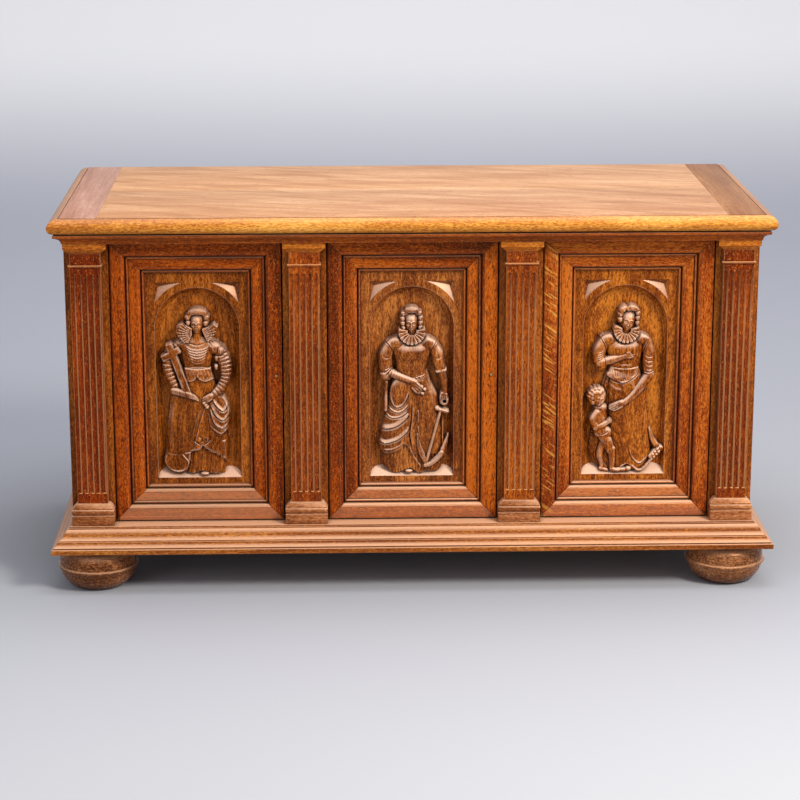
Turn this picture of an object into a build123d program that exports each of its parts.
from build123d import *

import os
from math import cos, radians, sin

# A cassone: a framed oak chest with four fluted pilasters, a lid hinged at
# the back and three carved doors hinged on their left edges.
#
# Millimetres.  X runs to the right, Z up.  While the pieces are modelled, Y is
# measured backwards from the face of the front stiles; write_node() then moves each
# piece to the part's own frame, whose origin is at the bottom centre of the whole.

# ---- driving dimensions: the chest --------------------------------------------
WIDTH = 1300.0              # over the corner stiles
DEPTH = 550.0               # stile face to back
FOOT_HEIGHT = 80.0          # underside of the base moulding
BASE_TOP = 127.0            # ledge under the doors
CORNICE_BOTTOM = 673.0
CORNICE_TOP = 691.5
CARCASS_TOP = 694.0
LID_TOP = 722.0
STILE_WIDTH = 82.0
STILE_THICK = 40.0
BLOCK_PROUD = 27.5          # pilaster capitals and plinth blocks, in front of the stiles
BASE_PROUD = 37.0           # base moulding, beyond the blocks and the sides

# ---- driving dimensions: doors ---------------------------------------------------
DOOR_GAP_HINGE = 0.8
DOOR_GAP_CLOSE = 2.7
DOOR_GAP_BELOW = 2.5
DOOR_GAP_ABOVE = 1.5
DOOR_BORDER = 25.0          # flat outer band of the frame
DOOR_MEMBER = 64.5          # whole width of a mitred frame member
STEP_ONE = 13.0             # depth of the second band behind the first
STEP_TWO = 27.0             # depth of the panel's face
PANEL_LAP = 12.5            # rebate behind the frame
PANEL_BACK = 54.0
NICHE_RADIUS = 80.0
NICHE_SPRING = 498.0        # height of the arch's centre
NICHE_FOOT = 206.0          # front edge of the sloping sill
NICHE_DEPTH = 18.0
NICHE_COVE = 14.0           # how far the recess narrows towards its back
PIVOT_INSET = 6.5           # door pin, from the door's edge and from its face
PIN_RADIUS = 2.5
PLATE_HALF = 4.4            # half the width of a pivot plate
PLATE_THICK = 2.5           # plates in the rails
SOCKET_THICK = 5.0          # plates in the doors
PULL_Z = 413.0              # height of the pull pins
PIN_CLEARANCE = 0.05

# ---- driving dimensions: lid, hinges, feet -----------------------------------------
LID_EDGE = 3.5              # flat top beyond the carcass sides and the blocks
CLEAT_WIDTH = 68.5
KNUCKLE_RADIUS = 5.0
KNUCKLE_OFFSET = 5.5        # hinge pin behind the back
LEAF_THICK = 2.5
LID_HINGE_X = (-400.0, 400.0)
FOOT_X = 606.0
FOOT_FRONT_Y = 13.0
FOOT_RADIUS = 77.0
FOOT_TENON = 10.0
FOOT_SOCKET = 10.3

# ---- worked out --------------------------------------------------------------------
HALF = WIDTH / 2
BAY = (WIDTH - STILE_WIDTH) / 3
OPENING = BAY - STILE_WIDTH
DOOR_WIDTH = OPENING - DOOR_GAP_HINGE - DOOR_GAP_CLOSE
DOOR_BOTTOM = BASE_TOP + DOOR_GAP_BELOW
DOOR_TOP = CORNICE_BOTTOM - DOOR_GAP_ABOVE
HINGE_AXIS_Y = DEPTH + KNUCKLE_OFFSET
FRONTMOST = -(BLOCK_PROUD + BASE_PROUD)
REARMOST = HINGE_AXIS_Y + KNUCKLE_RADIUS
FRAME_SHIFT = -(FRONTMOST + REARMOST) / 2
DOORS = ("left_door", "middle_door", "right_door")


def block(x0, x1, y0, y1, z0, z1):
    """Board between two opposite corners."""
    middle = Pos((x0 + x1) / 2, (y0 + y1) / 2, (z0 + z1) / 2)
    return middle * Box(x1 - x0, y1 - y0, z1 - z0)


def outline(start, *steps):
    """Closed face: a step (x, y) is a straight run, (x, y, rise) an arc of that rise."""
    edges = []
    here = start
    for step in steps:
        there = step[:2]
        if len(step) == 3:
            edges.append(SagittaArc(here, there, step[2]))
        else:
            edges.append(Line(here, there))
        here = there
    if here != start:
        edges.append(Line(here, start))
    return make_face(edges)


def plan(points, z0, z1):
    """Upright prism over a polygon in plan."""
    face = outline(points[0], *points[1:])
    return Pos(0, 0, z0) * extrude(face, z1 - z0)


def frustum(low, high):
    """Solid between two level rectangles, each (x0, x1, y0, y1, z)."""
    faces = []
    for x0, x1, y0, y1, z in (low, high):
        faces.append(Pos((x0 + x1) / 2, (y0 + y1) / 2, z) * Rectangle(x1 - x0, y1 - y0))
    return loft(faces)


def together(pieces):
    """Group of separate solids that share one node."""
    return Compound(children=list(pieces))


def write_node(name, piece):
    """Moves a piece to the part's frame and writes its STEP file."""
    export_step(Pos(0, FRAME_SHIFT, 0) * piece, f"parts/{name}.step")


# ---- mouldings round the front and sides ----------------------------------------------
# A profile is drawn outwards (from the sides, and from the blocks' faces in front)
# and upwards, and starts and ends on its inner plane.

def base_profile(inner):
    """Stepped base: fascia, torus, ogee and bead up to the ledge."""
    return outline(
        (inner, FOOT_HEIGHT), (35.5, FOOT_HEIGHT), (BASE_PROUD, 81.5), (BASE_PROUD, 90),
        (34, 91.5), (34, 93), (31.5, 93), (26.5, 100, -2.0), (24.5, 100), (24.5, 101.5),
        (20, 105.5, -1.2), (17.5, 105.5), (17.5, 107), (16.5, 107), (13, 112, 1.0),
        (9.5, 117.5, -1.0), (8.5, 117.5), (8.5, 119.5), (4, 125, -1.8), (3, 125),
        (3, BASE_TOP), (inner, BASE_TOP))


def cornice_profile(inner):
    """Small fillet over a hollow."""
    return outline(
        (inner, CORNICE_BOTTOM), (1, CORNICE_BOTTOM), (1, 675), (9, 684, 1.8), (9, 685.5),
        (13, 685.5), (15, 688, -0.6), (15, 690.5), (14, CORNICE_TOP), (inner, CORNICE_TOP))


def lid_profile(inner):
    """Bold round edge with a quirk where it meets the flat top."""
    return outline(
        (inner, CARCASS_TOP), (15, CARCASS_TOP), (24.5, 705.5, -2.6), (8.5, 721, -4.6),
        (5.5, 721), (5.5, 719.5), (inner, 719.5))


def side_run(profile, inner, reach, back):
    """Right-hand length of a moulding, mitred to the front length."""
    start = Plane(origin=(HALF, back, 0), x_dir=(1, 0, 0), z_dir=(0, -1, 0))
    run = extrude(start * profile, back + BLOCK_PROUD + reach)
    region = plan([(HALF + inner, back), (HALF + inner, -BLOCK_PROUD - inner),
                   (HALF + reach, -BLOCK_PROUD - reach), (HALF + reach, back)],
                  0, LID_TOP + 10)
    return run & region


def write_mouldings(name, profile, inner, pack_depth, reach):
    """Front, right and left lengths of one moulding."""
    front_profile = profile(inner - pack_depth)
    start = Plane(origin=(HALF + reach, -BLOCK_PROUD, 0), x_dir=(0, -1, 0), z_dir=(-1, 0, 0))
    run = extrude(start * front_profile, 2 * (HALF + reach))
    face = -BLOCK_PROUD - inner
    far = -BLOCK_PROUD - reach
    edge = HALF + inner
    corners = [(edge, face), (HALF + reach, far), (-HALF - reach, far), (-edge, face)]
    if pack_depth:
        corners = [(edge, face + pack_depth)] + corners + [(-edge, face + pack_depth)]
    front = run & plan(corners, 0, LID_TOP + 10)
    right = side_run(profile(inner), inner, reach, DEPTH)
    write_node(f"{name}_front", front)
    write_node(f"{name}_right", right)
    write_node(f"{name}_left", mirror(right, about=Plane.YZ))


# ---- the framed carcass ------------------------------------------------------------------
TENON_THICK = 12.0
TENON_WIDE = 56.0
TENON_Y = 14.0
MORTISE_RAIL = 30.0
MORTISE_TOP = 14.0
RAIL_BACK = 60.0
STOP_FACE = STILE_THICK + 1.5
SIDE_RAIL_IN = HALF - 28.0
SIDE_TOP_RAIL = 80.0
SIDE_BOTTOM_RAIL = 100.0
SIDE_PANEL_OUT = HALF - 6.0
SIDE_PANEL_IN = HALF - 18.0
GROOVE = 8.0
POST_X = 590.0
POST_Y = 508.0
BACK_RAIL_Y = 522.0
BACK_BOARD_Y = (528.0, 542.0)
BACK_TOP_RAIL = 70.0
BACK_BOTTOM_RAIL = 70.0
FLOOR_Z = (104.0, 120.0)


def stile_centres():
    """Middle of each front stile, from the left."""
    return [-HALF + STILE_WIDTH / 2 + BAY * n for n in range(4)]


def rail_tenons():
    """Tenons on both ends of the top and bottom front rails."""
    ends = []
    for side in (-1, 1):
        inner = side * (HALF - STILE_WIDTH)
        outer = side * (HALF - STILE_WIDTH + MORTISE_RAIL)
        x0, x1 = sorted((inner, outer))
        y1 = TENON_Y + TENON_THICK
        ends.append(block(x0, x1, TENON_Y, y1, CORNICE_BOTTOM + 4, CARCASS_TOP - 4))
        ends.append(block(x0, x1, TENON_Y, y1, FOOT_HEIGHT + 28, BASE_TOP - 4))
    return ends


def stile_tenons(centre):
    """Tenons on both ends of a middle stile."""
    half = TENON_WIDE / 2
    y1 = TENON_Y + TENON_THICK
    top = block(centre - half, centre + half, TENON_Y, y1, CORNICE_BOTTOM,
                CORNICE_BOTTOM + MORTISE_TOP)
    foot = block(centre - half, centre + half, TENON_Y, y1, BASE_TOP - MORTISE_RAIL, BASE_TOP)
    return top, foot


def side_panel():
    """Right-hand panel, fielded on its outer face, with its edges in the grooves."""
    y0, y1 = STILE_THICK - GROOVE, POST_Y + GROOVE
    z0 = FOOT_HEIGHT + SIDE_BOTTOM_RAIL - GROOVE
    z1 = CARCASS_TOP - SIDE_TOP_RAIL + GROOVE
    return block(SIDE_PANEL_IN, SIDE_PANEL_OUT, y0, y1, z0, z1)


def fielded(panel):
    """Cuts the sloping margin of the raised field."""
    margin = 45.0
    y0, y1 = STILE_THICK + margin, POST_Y - margin
    z0 = FOOT_HEIGHT + SIDE_BOTTOM_RAIL + margin
    z1 = CARCASS_TOP - SIDE_TOP_RAIL - margin
    field = loft([
        Plane(origin=(SIDE_PANEL_OUT, (y0 + y1) / 2, (z0 + z1) / 2), x_dir=(0, 1, 0),
              z_dir=(1, 0, 0)) * Rectangle(y1 - y0, z1 - z0),
        Plane(origin=(SIDE_PANEL_OUT - 5, (y0 + y1) / 2, (z0 + z1) / 2), x_dir=(0, 1, 0),
              z_dir=(1, 0, 0)) * Rectangle(y1 - y0 + 60, z1 - z0 + 60)])
    back = block(SIDE_PANEL_IN, SIDE_PANEL_OUT - 5, 0, DEPTH, 0, CARCASS_TOP)
    return panel & (field + back)


def pivot_plate(x, z0, z1):
    """Narrow plate let in about a door's pin."""
    return block(x - PLATE_HALF, x + 36, PIVOT_INSET - PLATE_HALF, PIVOT_INSET + PLATE_HALF, z0, z1)


def pin_post(x, z0, z1, radius):
    """Upright cylinder on a door's pin axis."""
    return Pos(x, PIVOT_INSET, (z0 + z1) / 2) * Cylinder(radius, z1 - z0)


def pivot_centres():
    """Pin axis of each door, from the left."""
    return [centre + STILE_WIDTH / 2 + DOOR_GAP_HINGE + PIVOT_INSET
            for centre in stile_centres()[:3]]


def carcass_pivots():
    """Plates with pins in the bottom and top front rails, three of each."""
    pieces = []
    for x in pivot_centres():
        low = pivot_plate(x, BASE_TOP - PLATE_THICK, BASE_TOP)
        low += pin_post(x, BASE_TOP, DOOR_BOTTOM + SOCKET_THICK - 0.5, PIN_RADIUS)
        high = pivot_plate(x, CORNICE_BOTTOM, CORNICE_BOTTOM + PLATE_THICK)
        high += pin_post(x, DOOR_TOP - SOCKET_THICK + 0.5, CORNICE_BOTTOM, PIN_RADIUS)
        pieces += [low, high]
    return pieces


def plate_recesses():
    """Room for the pivot plates in the rails, low and high by turns."""
    cuts = []
    for x in pivot_centres():
        cuts.append(pivot_plate(x, BASE_TOP - PLATE_THICK, BASE_TOP + 1))
        cuts.append(pivot_plate(x, CORNICE_BOTTOM - 1, CORNICE_BOTTOM + PLATE_THICK))
    return cuts


def write_carcass():
    """Stiles, rails, posts, panels, back, floor and pivots."""
    centres = stile_centres()
    tenons = rail_tenons()
    recesses = plate_recesses()
    panel = side_panel()
    panels = [panel, mirror(panel, about=Plane.YZ)]
    sockets = [Pos(x, FOOT_FRONT_Y, FOOT_HEIGHT + 12) * Cylinder(FOOT_SOCKET, 24)
               for x in (-FOOT_X, FOOT_X)]

    for n in (0, 3):
        x = centres[n]
        stile = block(x - STILE_WIDTH / 2, x + STILE_WIDTH / 2, 0, STILE_THICK,
                      FOOT_HEIGHT, CARCASS_TOP)
        stile -= together(tenons + panels + sockets)
        write_node(f"stile_{n + 1}", stile)

    top = block(-HALF + STILE_WIDTH, HALF - STILE_WIDTH, 0, RAIL_BACK, CORNICE_BOTTOM, CARCASS_TOP)
    top += block(-HALF + STILE_WIDTH, HALF - STILE_WIDTH, STOP_FACE, RAIL_BACK,
                 CORNICE_BOTTOM - 18, CORNICE_BOTTOM)
    top += tenons[0] + tenons[2]
    bottom = block(-HALF + STILE_WIDTH, HALF - STILE_WIDTH, 0, STILE_THICK, FOOT_HEIGHT, BASE_TOP)
    bottom += tenons[1] + tenons[3]
    for n in (1, 2):
        high, low = stile_tenons(centres[n])
        stile = block(centres[n] - STILE_WIDTH / 2, centres[n] + STILE_WIDTH / 2, 0,
                      STILE_THICK, BASE_TOP, CORNICE_BOTTOM)
        stile = stile + high + low
        top -= high
        bottom -= low
        write_node(f"stile_{n + 1}", stile)
    for n, cut in enumerate(recesses):
        if n % 2:
            top -= cut
        else:
            bottom -= cut
    write_node("front_top_rail", top)
    write_node("front_bottom_rail", bottom)

    post = block(POST_X, HALF, POST_Y, DEPTH, FOOT_HEIGHT, CARCASS_TOP) - panel
    back_panel = block(-POST_X - GROOVE, POST_X + GROOVE, *BACK_BOARD_Y,
                       FOOT_HEIGHT + BACK_BOTTOM_RAIL - GROOVE,
                       CARCASS_TOP - BACK_TOP_RAIL + GROOVE)
    post -= back_panel
    top_rail = block(SIDE_RAIL_IN, HALF, STILE_THICK, POST_Y, CARCASS_TOP - SIDE_TOP_RAIL,
                     CARCASS_TOP) - panel
    bottom_rail = block(SIDE_RAIL_IN, HALF, STILE_THICK, POST_Y, FOOT_HEIGHT,
                        FOOT_HEIGHT + SIDE_BOTTOM_RAIL) - panel
    pair = {"rear_post": post, "side_top_rail": top_rail, "side_bottom_rail": bottom_rail,
            "side_panel": fielded(panel)}
    for name, piece in pair.items():
        write_node(f"{name}_right", piece)
        write_node(f"{name}_left", mirror(piece, about=Plane.YZ))

    write_node("back_top_rail", block(-POST_X, POST_X, BACK_RAIL_Y, DEPTH,
                                      CARCASS_TOP - BACK_TOP_RAIL, CARCASS_TOP) - back_panel)
    write_node("back_bottom_rail", block(-POST_X, POST_X, BACK_RAIL_Y, DEPTH, FOOT_HEIGHT,
                                         FOOT_HEIGHT + BACK_BOTTOM_RAIL) - back_panel)
    boards = []
    edges = [-POST_X - GROOVE, -200.5, 200.5, POST_X + GROOVE]
    for x0, x1 in zip(edges, edges[1:]):
        boards.append(back_panel & block(x0 + 0.5, x1 - 0.5, 0, DEPTH, 0, LID_TOP))
    write_node("back_boards", together(boards))

    floor = []
    edges = [STILE_THICK + 1, 200.0, 360.0, POST_Y]
    for y0, y1 in zip(edges, edges[1:]):
        floor.append(block(-SIDE_RAIL_IN + 1, SIDE_RAIL_IN - 1, y0, y1 - 1, *FLOOR_Z))
    floor[-1] += block(-POST_X + 1, POST_X - 1, POST_Y - 1, BACK_RAIL_Y - 1, *FLOOR_Z)
    write_node("floor_boards", together(floor))
    inner = HALF - STILE_WIDTH
    write_node("floor_bearers", together([
        block(-inner, inner, STILE_THICK, STILE_THICK + 20, FLOOR_Z[0] - 20, FLOOR_Z[0]),
        block(-inner, inner, BACK_RAIL_Y - 20, BACK_RAIL_Y, FLOOR_Z[0] - 20, FLOOR_Z[0])]))

    rear_y = DEPTH - FOOT_RADIUS
    foot_blocks = []
    for side in (-1, 1):
        x0, x1 = sorted((side * (SIDE_RAIL_IN - 52), side * SIDE_RAIL_IN))
        body = block(x0, x1, rear_y - 30, rear_y + 26, FOOT_HEIGHT, FLOOR_Z[0])
        socket = Pos(side * FOOT_X, rear_y, FOOT_HEIGHT) * Cylinder(FOOT_SOCKET, 60)
        foot_blocks.append(body - socket)
    write_node("foot_blocks", together(foot_blocks))
    write_node("door_pivot_plates", together(carcass_pivots()))


# ---- pilasters --------------------------------------------------------------------------------
SHAFT_HALF = 28.5
SHAFT_PROUD = 20.0
BLOCK_HALF = 40.0
CAPITAL_UNDER = 662.0
NECK_TOP = 654.0
ASTRAGAL = (628.5, 633.5)
FLUTES = (189.0, 624.0)
FLUTE_COUNT = 5
FLUTE_RADIUS = 3.4
PLINTH_TOP = 169.5


def pilaster_shaft(x):
    """Flat shaft with five stopped flutes and a bead below the neck."""
    shaft = block(x - SHAFT_HALF, x + SHAFT_HALF, -SHAFT_PROUD, 0, PLINTH_TOP, NECK_TOP)
    pitch = 2 * SHAFT_HALF / FLUTE_COUNT
    low, high = FLUTES
    for n in range(FLUTE_COUNT):
        middle = x + (n - (FLUTE_COUNT - 1) / 2) * pitch
        shaft -= Pos(middle, -SHAFT_PROUD - 0.8, (low + high) / 2) * Cylinder(FLUTE_RADIUS, high - low)
    bead = block(x - SHAFT_HALF - 3.5, x + SHAFT_HALF + 3.5, -SHAFT_PROUD - 3.5, 0, *ASTRAGAL)
    bead = fillet(bead.edges().filter_by(Axis.X).group_by(Axis.Y)[0], 1.6)
    return shaft + bead


def capital(x):
    """Square capital with a hollow-chamfered underside."""
    top = block(x - BLOCK_HALF, x + BLOCK_HALF, -BLOCK_PROUD, 0, CAPITAL_UNDER, CORNICE_BOTTOM)
    under = frustum((x - 30, x + 30, -21.5, 0, NECK_TOP),
                    (x - 39, x + 39, -26.5, 0, CAPITAL_UNDER))
    return top + under


def plinth_block(x):
    """Square foot of a pilaster: block, quirk, torus and a sloping top."""
    foot = block(x - BLOCK_HALF, x + BLOCK_HALF, -BLOCK_PROUD, 0, BASE_TOP, 146)
    quirk = block(x - BLOCK_HALF + 2, x + BLOCK_HALF - 2, -BLOCK_PROUD + 2, 0, 146, 149)
    torus = block(x - BLOCK_HALF, x + BLOCK_HALF, -BLOCK_PROUD, 0, 149, 158.5)
    torus = fillet(torus.edges().filter_by(Axis.X).group_by(Axis.Y)[0], 3.5)
    step = block(x - BLOCK_HALF + 1.5, x + BLOCK_HALF - 1.5, -BLOCK_PROUD + 1.5, 0, 158.5, 161)
    slope = frustum((x - BLOCK_HALF + 1.5, x + BLOCK_HALF - 1.5, -BLOCK_PROUD + 1.5, 0, 161),
                    (x - 31, x + 31, -SHAFT_PROUD - 1.5, 0, PLINTH_TOP))
    return foot + quirk + torus + step + slope


# ---- turned feet --------------------------------------------------------------------------------

def foot(x, y):
    """Flattened ball foot with a ridge round its middle and a round tenon.

    The belly is turned in straight bands, which keep its mesh light.
    """
    ridge = FOOT_RADIUS
    section = outline(
        (0, 0), (57, 0), (ridge - 5, 27), (ridge, 40.5), (ridge - 6, 46), (ridge - 9, 64),
        (50, FOOT_HEIGHT), (FOOT_TENON, FOOT_HEIGHT), (FOOT_TENON, FOOT_HEIGHT + 22),
        (0, FOOT_HEIGHT + 22))
    return Pos(x, y, 0) * revolve(Plane.XZ * section, Axis.Z)


# ---- lid ------------------------------------------------------------------------------------------
TONGUE = 12.0
TONGUE_Z = (703.0, 712.0)
BATTEN_X = 330.0


def write_lid():
    """Two boards, two cleats, the round edge, battens and the moving hinge leaves."""
    edge = HALF + LID_EDGE
    seam = edge - CLEAT_WIDTH
    front = -BLOCK_PROUD - LID_EDGE
    middle = (front + DEPTH) / 2
    spans = {"lid_board_front": (front, middle - 0.3), "lid_board_back": (middle + 0.3, DEPTH)}
    for name, (y0, y1) in spans.items():
        board = block(-seam, seam, y0, y1, CARCASS_TOP, LID_TOP)
        board += block(-seam - TONGUE, seam + TONGUE, y0, y1, *TONGUE_Z)
        write_node(name, board)
    cleat = block(seam, edge, front, DEPTH, CARCASS_TOP, LID_TOP)
    cleat -= block(seam - 1, seam + TONGUE, front - 1, DEPTH + 1, *TONGUE_Z)
    write_node("lid_cleat_right", cleat)
    write_node("lid_cleat_left", mirror(cleat, about=Plane.YZ))
    write_mouldings("lid_moulding", lid_profile, LID_EDGE, 0, 30.0)
    battens = [block(x - 30, x + 30, 68, 500, CARCASS_TOP - 22, CARCASS_TOP)
               for x in (-BATTEN_X, BATTEN_X)]
    write_node("lid_battens", together(battens))


def lid_hinge(x):
    """Hinge behind the back: the fixed leaf with a bored knuckle, the moving leaf with the pin."""
    def barrel(x0, x1, radius):
        middle = Pos((x0 + x1) / 2, HINGE_AXIS_Y, CARCASS_TOP)
        return middle * Rot(0, 90, 0) * Cylinder(radius, x1 - x0)

    y1 = DEPTH + LEAF_THICK
    fixed = block(x - 35, x - 0.3, DEPTH, y1, CARCASS_TOP - 52, CARCASS_TOP)
    fixed += block(x - 0.3, x + 35, DEPTH, y1, CARCASS_TOP - 52, CARCASS_TOP - 6)
    fixed += barrel(x - 35, x - 0.3, KNUCKLE_RADIUS)
    fixed -= barrel(x - 40, x + 1, PIN_RADIUS + PIN_CLEARANCE)
    moving = block(x - 35, x + 35, DEPTH, y1, CARCASS_TOP + 6, LID_TOP - 1)
    moving += block(x, x + 35, DEPTH, y1, CARCASS_TOP, CARCASS_TOP + 6)
    moving += barrel(x, x + 35, KNUCKLE_RADIUS) + barrel(x - 36, x, PIN_RADIUS)
    return fixed, moving


def write_lid_hinges():
    """Both lid hinges, one node for each body."""
    pairs = [lid_hinge(x) for x in LID_HINGE_X]
    write_node("lid_hinge_plates", together(pair[0] for pair in pairs))
    write_node("lid_hinge_leaves", together(pair[1] for pair in pairs))


# ---- doors ------------------------------------------------------------------------------------------

def member_profile():
    """Section of a door member: across the face, then into the depth."""
    first = DOOR_BORDER
    third = DOOR_MEMBER - 11
    return outline(
        (0, 0), (first, 0), (first, 2.6), (first + 9, STEP_ONE - 2, -1.4),
        (first + 10, STEP_ONE - 2), (first + 10, STEP_ONE), (third, STEP_ONE),
        (third, STEP_ONE + 2.6), (DOOR_MEMBER - 2, STEP_TWO - 2.4, -1.4),
        (DOOR_MEMBER, STEP_TWO - 2.4), (DOOR_MEMBER, STEP_TWO),
        (DOOR_MEMBER - PANEL_LAP, STEP_TWO), (DOOR_MEMBER - PANEL_LAP, STILE_THICK),
        (0, STILE_THICK))


def upright_wedge(points):
    """Prism over a polygon drawn in the plane of the door."""
    face = Plane.XZ * outline(points[0], *points[1:])
    return Pos(0, 80, 0) * extrude(face, 100)


def door_frame(x0, x1):
    """Four mitred members, hinge stile first; the edge is rounded about the pin."""
    z0, z1, w = DOOR_BOTTOM, DOOR_TOP, DOOR_MEMBER
    middle_x, middle_z = (x0 + x1) / 2, (z0 + z1) / 2
    upright = Plane(origin=(x0, 0, z0), x_dir=(1, 0, 0), z_dir=(0, 0, 1))
    hinge_stile = extrude(upright * member_profile(), z1 - z0)
    lock_stile = mirror(hinge_stile, about=Plane(origin=(middle_x, 0, 0), z_dir=(1, 0, 0)))
    level = Plane(origin=(x1, 0, z0), x_dir=(0, 0, 1), z_dir=(-1, 0, 0))
    low_rail = extrude(level * member_profile(), x1 - x0)
    high_rail = mirror(low_rail, about=Plane(origin=(0, 0, middle_z), z_dir=(0, 0, 1)))
    wedges = [
        [(x0, z0), (x0 + w, z0 + w), (x0 + w, z1 - w), (x0, z1)],
        [(x1, z0), (x1, z1), (x1 - w, z1 - w), (x1 - w, z0 + w)],
        [(x0, z0), (x1, z0), (x1 - w, z0 + w), (x0 + w, z0 + w)],
        [(x0, z1), (x0 + w, z1 - w), (x1 - w, z1 - w), (x1, z1)]]
    arris = block(x0 - 1, x0 + PIVOT_INSET, -1, PIVOT_INSET, z0 - 1, z1 + 1)
    arris -= Pos(x0 + PIVOT_INSET, PIVOT_INSET, middle_z) * Cylinder(PIVOT_INSET, z1 - z0 + 10)
    members = (hinge_stile, lock_stile, low_rail, high_rail)
    return [(member & upright_wedge(points)) - arris
            for member, points in zip(members, wedges)]


def niche_recess(centre):
    """Arched recess with its sloping sill, deeper towards its middle."""
    r, spring, sill = NICHE_RADIUS, NICHE_SPRING, NICHE_FOOT

    def arch(inset, y, lift):
        width = r - inset
        face = outline((centre - width, sill + lift), (centre + width, sill + lift),
                       (centre + width, spring), (centre - width, spring, -width))
        return Plane(origin=(0, y, 0), x_dir=(1, 0, 0), z_dir=(0, -1, 0)) * face

    mouth = extrude(arch(0, STEP_TWO, 0), 1.0)
    bowl = loft([arch(0, STEP_TWO, 0), arch(NICHE_COVE, STEP_TWO + NICHE_DEPTH, 20)], ruled=True)
    return bowl + mouth


def spandrel(centre, side):
    """Three-cornered sunk cut above the arch, at its left (-1) or right (1) shoulder."""
    points = [(75.5, 552.0), (66.0, 581.5), (28.0, 588.0)]
    a, b, c = [(centre + side * x, z) for x, z in points]
    face = Plane.XZ * outline(a, b, c, a + (4.9 * side,))
    return Pos(0, STEP_TWO + 3, 0) * extrude(face, 10)


BACK_Y = STEP_TWO + NICHE_DEPTH     # the niche's back, where the figures stand


def ring(centre, z, half, deep):
    """Level outline of a carved form, rounded in flats towards the front."""
    points = [(centre + half * cos(radians(a)), BACK_Y - deep * sin(radians(a)))
              for a in range(0, 181, 60)]
    points = [(centre + half, BACK_Y + 3)] + points + [(centre - half, BACK_Y + 3)]
    return Pos(0, 0, z) * outline(*points)


def draped(centre, levels, bulge):
    """Carved form through level outlines, each (offset, height, half-width).

    Each stands out by the same share of its half-width, so that its sides are flat.
    """
    return loft([ring(centre + x, z, half, bulge * half) for x, z, half in levels], ruled=True)


def limb(start, end, radius_start, radius_end):
    """Tapered four-sided length between two points."""
    path = Vector(*end) - Vector(*start)
    unit = path.normalized()
    low = Plane(origin=Vector(*start) - unit * 0.5 * radius_start, z_dir=path)
    high = Plane(origin=Vector(*end) + unit * 0.5 * radius_end, z_dir=path)
    return loft([low * RegularPolygon(radius_start, 4), high * RegularPolygon(radius_end, 4)],
                ruled=True)


def rod(start, end, width):
    """Square rod between two points."""
    path = Vector(*end) - Vector(*start)
    middle = (Vector(*end) + Vector(*start)) / 2
    return Plane(origin=middle, z_dir=path) * Box(width, width, path.length)


SKIRT = ((0, 214, 50), (0, 250, 60), (0, 330, 55), (0, 400, 34))
BODICE = ((0, 399, 34), (0, 440, 40), (0, 470, 46))
CLOTH_BULGE = 0.45
HEAD_BULGE = 1.33
CHILD_BULGE = 1.3
FIGURES = {
    "left_door": {
        "head": (4, 513), "arms": [(-44, 458, -50, 408, -12, 372), (50, 458, 56, 408, 12, 368)],
        "holds": "cross"},
    "middle_door": {
        "head": (-1, 512), "arms": [(-44, 462, -56, 402, 8, 384), (42, 462, 54, 414, 62, 362)],
        "holds": "anchor"},
    "right_door": {
        "head": (5, 511), "arms": [(-38, 458, -44, 420, 6, 446), (50, 458, 50, 408, -10, 338)],
        "holds": "child"},
}


def head(x, z, size):
    """Faceted head, broadest at the brow."""
    levels = ((-1.5, 0.5), (0.3, 1.05), (1.5, 0.5))
    return draped(x, [(0, z + size * dz, size * half) for dz, half in levels], HEAD_BULGE)


def held_thing(kind, centre):
    """Cross, anchor or child in low relief."""
    y = BACK_Y - 20
    if kind == "cross":
        upright = rod((centre - 51, y + 2, 476), (centre - 4, y, 378), 12)
        arm = rod((centre - 71, y + 2, 445), (centre - 29, y + 2, 463), 11)
        return upright + arm
    if kind == "anchor":
        shank = rod((centre + 61, y, 358), (centre + 21, y + 2, 224), 8)
        stock = rod((centre + 44, y, 333), (centre + 68, y, 341), 7)
        arm = limb((centre + 22, y + 2, 228), (centre + 59, y + 4, 255), 5.5, 4.5)
        tip = limb((centre + 59, y + 4, 255), (centre + 67, y + 6, 290), 4.2, 3)
        return shank + stock + arm + tip
    trunk = draped(centre - 42, [(0, 292, 17), (0, 325, 15), (-2, 346, 12)], CHILD_BULGE)
    leg = draped(centre - 38, [(5, 222, 9), (0, 293, 15)], CHILD_BULGE)
    return head(centre - 50, 361, 14) + trunk + leg


def figure(name, centre):
    """Standing draped figure: skirt, bodice, ruff, head, arms and attribute."""
    data = FIGURES[name]
    hx, hz = data["head"]
    carving = draped(centre, SKIRT, CLOTH_BULGE) + draped(centre, BODICE, CLOTH_BULGE)
    ruff = Plane(origin=(centre + hx, BACK_Y + 2, hz - 27), z_dir=(0, -1, 0))
    carving += loft([ruff * RegularPolygon(30, 8), ruff.offset(19) * RegularPolygon(22, 8)],
                    ruled=True)
    carving += head(centre + hx, hz, 17)
    for sx, sz, ex, ez, px, pz in data["arms"]:
        carving += limb((centre + sx, BACK_Y - 10, sz), (centre + ex, BACK_Y - 11, ez), 15, 12)
        carving += limb((centre + ex, BACK_Y - 11, ez), (centre + px, BACK_Y - 23, pz), 11, 7.5)
    return carving + held_thing(data["holds"], centre)


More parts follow.
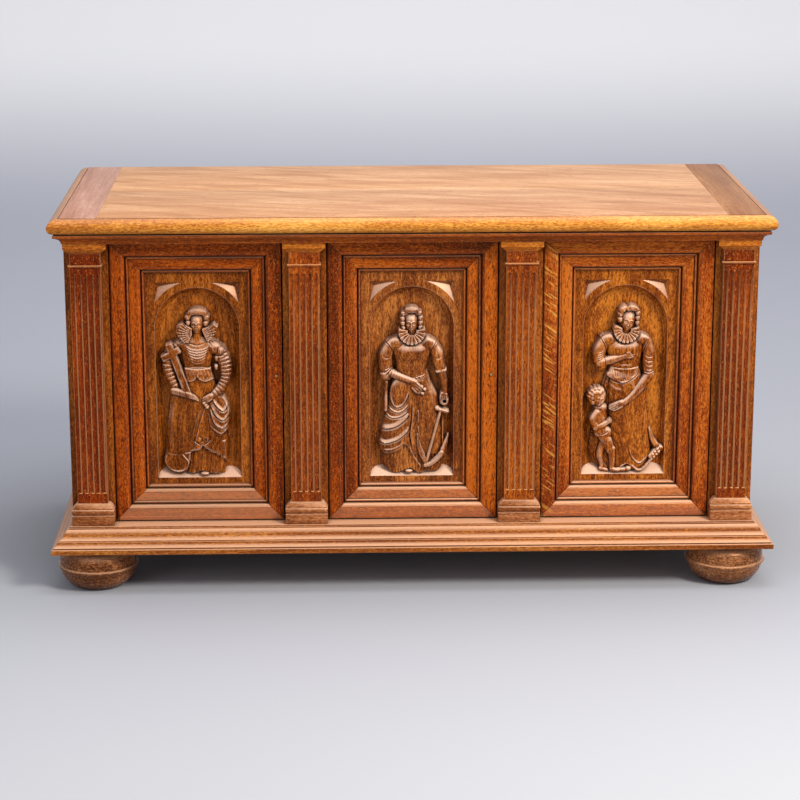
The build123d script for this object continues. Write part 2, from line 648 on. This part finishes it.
def door_panel(name, x0, x1):
    """Thick panel with the arched niche cut in and the figure standing in it."""
    inset = DOOR_MEMBER - PANEL_LAP
    centre = (x0 + x1) / 2
    panel = block(x0 + inset, x1 - inset, STEP_TWO, PANEL_BACK, DOOR_BOTTOM + inset, DOOR_TOP - inset)
    keep = block(x0 + inset, x1 - inset, 0, PANEL_BACK - 4, DOOR_BOTTOM + inset, DOOR_TOP - inset)
    panel = panel - niche_recess(centre) - spandrel(centre, -1) - spandrel(centre, 1)
    return panel + (figure(name, centre) & keep)


def door_fittings(x0, x1, pull):
    """Socket plates and, on two doors, the brass pull pin on the face."""
    x = x0 + PIVOT_INSET
    running = PIN_RADIUS + PIN_CLEARANCE
    pieces = []
    for z0 in (DOOR_BOTTOM, DOOR_TOP - SOCKET_THICK):
        z1 = z0 + SOCKET_THICK
        pieces.append(pivot_plate(x, z0, z1) - pin_post(x, z0 - 1, z1 + 1, running))
    if pull:
        pieces.append(Pos(x1 - 11, -2, PULL_Z) * Rot(90, 0, 0) * Cylinder(2.2, 4))
    return pieces


def write_doors():
    """Frame, panel and fittings of each door."""
    for n, name in enumerate(DOORS):
        x0 = stile_centres()[n] + STILE_WIDTH / 2 + DOOR_GAP_HINGE
        x1 = x0 + DOOR_WIDTH
        pin_x = x0 + PIVOT_INSET
        members = door_frame(x0, x1)
        rooms = together([
            pivot_plate(pin_x, DOOR_BOTTOM - 1, DOOR_BOTTOM + SOCKET_THICK),
            pivot_plate(pin_x, DOOR_TOP - SOCKET_THICK, DOOR_TOP + 1)])
        members = [member - rooms for member in members]
        write_node(f"{name}_frame", together(members))
        write_node(f"{name}_panel", door_panel(name, x0, x1))
        write_node(f"{name}_fittings", together(door_fittings(x0, x1, n < 2)))


def main():
    """Builds every piece and writes one STEP file for each node."""
    os.makedirs("parts", exist_ok=True)
    write_carcass()
    write_mouldings("base", base_profile, 0, BLOCK_PROUD, BASE_PROUD + 5)
    write_mouldings("cornice", cornice_profile, 0, BLOCK_PROUD, 20.0)
    shafts, capitals, plinths = [], [], []
    for n, x in enumerate(stile_centres()):
        write_node(f"pilaster_{n + 1}", pilaster_shaft(x))
        capitals.append(capital(x))
        plinths.append(plinth_block(x))
    write_node("capitals", together(capitals))
    write_node("plinth_blocks", together(plinths))
    for name, y in {"front_feet": FOOT_FRONT_Y, "rear_feet": DEPTH - FOOT_RADIUS}.items():
        write_node(name, together(foot(x, y) for x in (-FOOT_X, FOOT_X)))
    write_lid()
    write_lid_hinges()
    write_doors()


main()
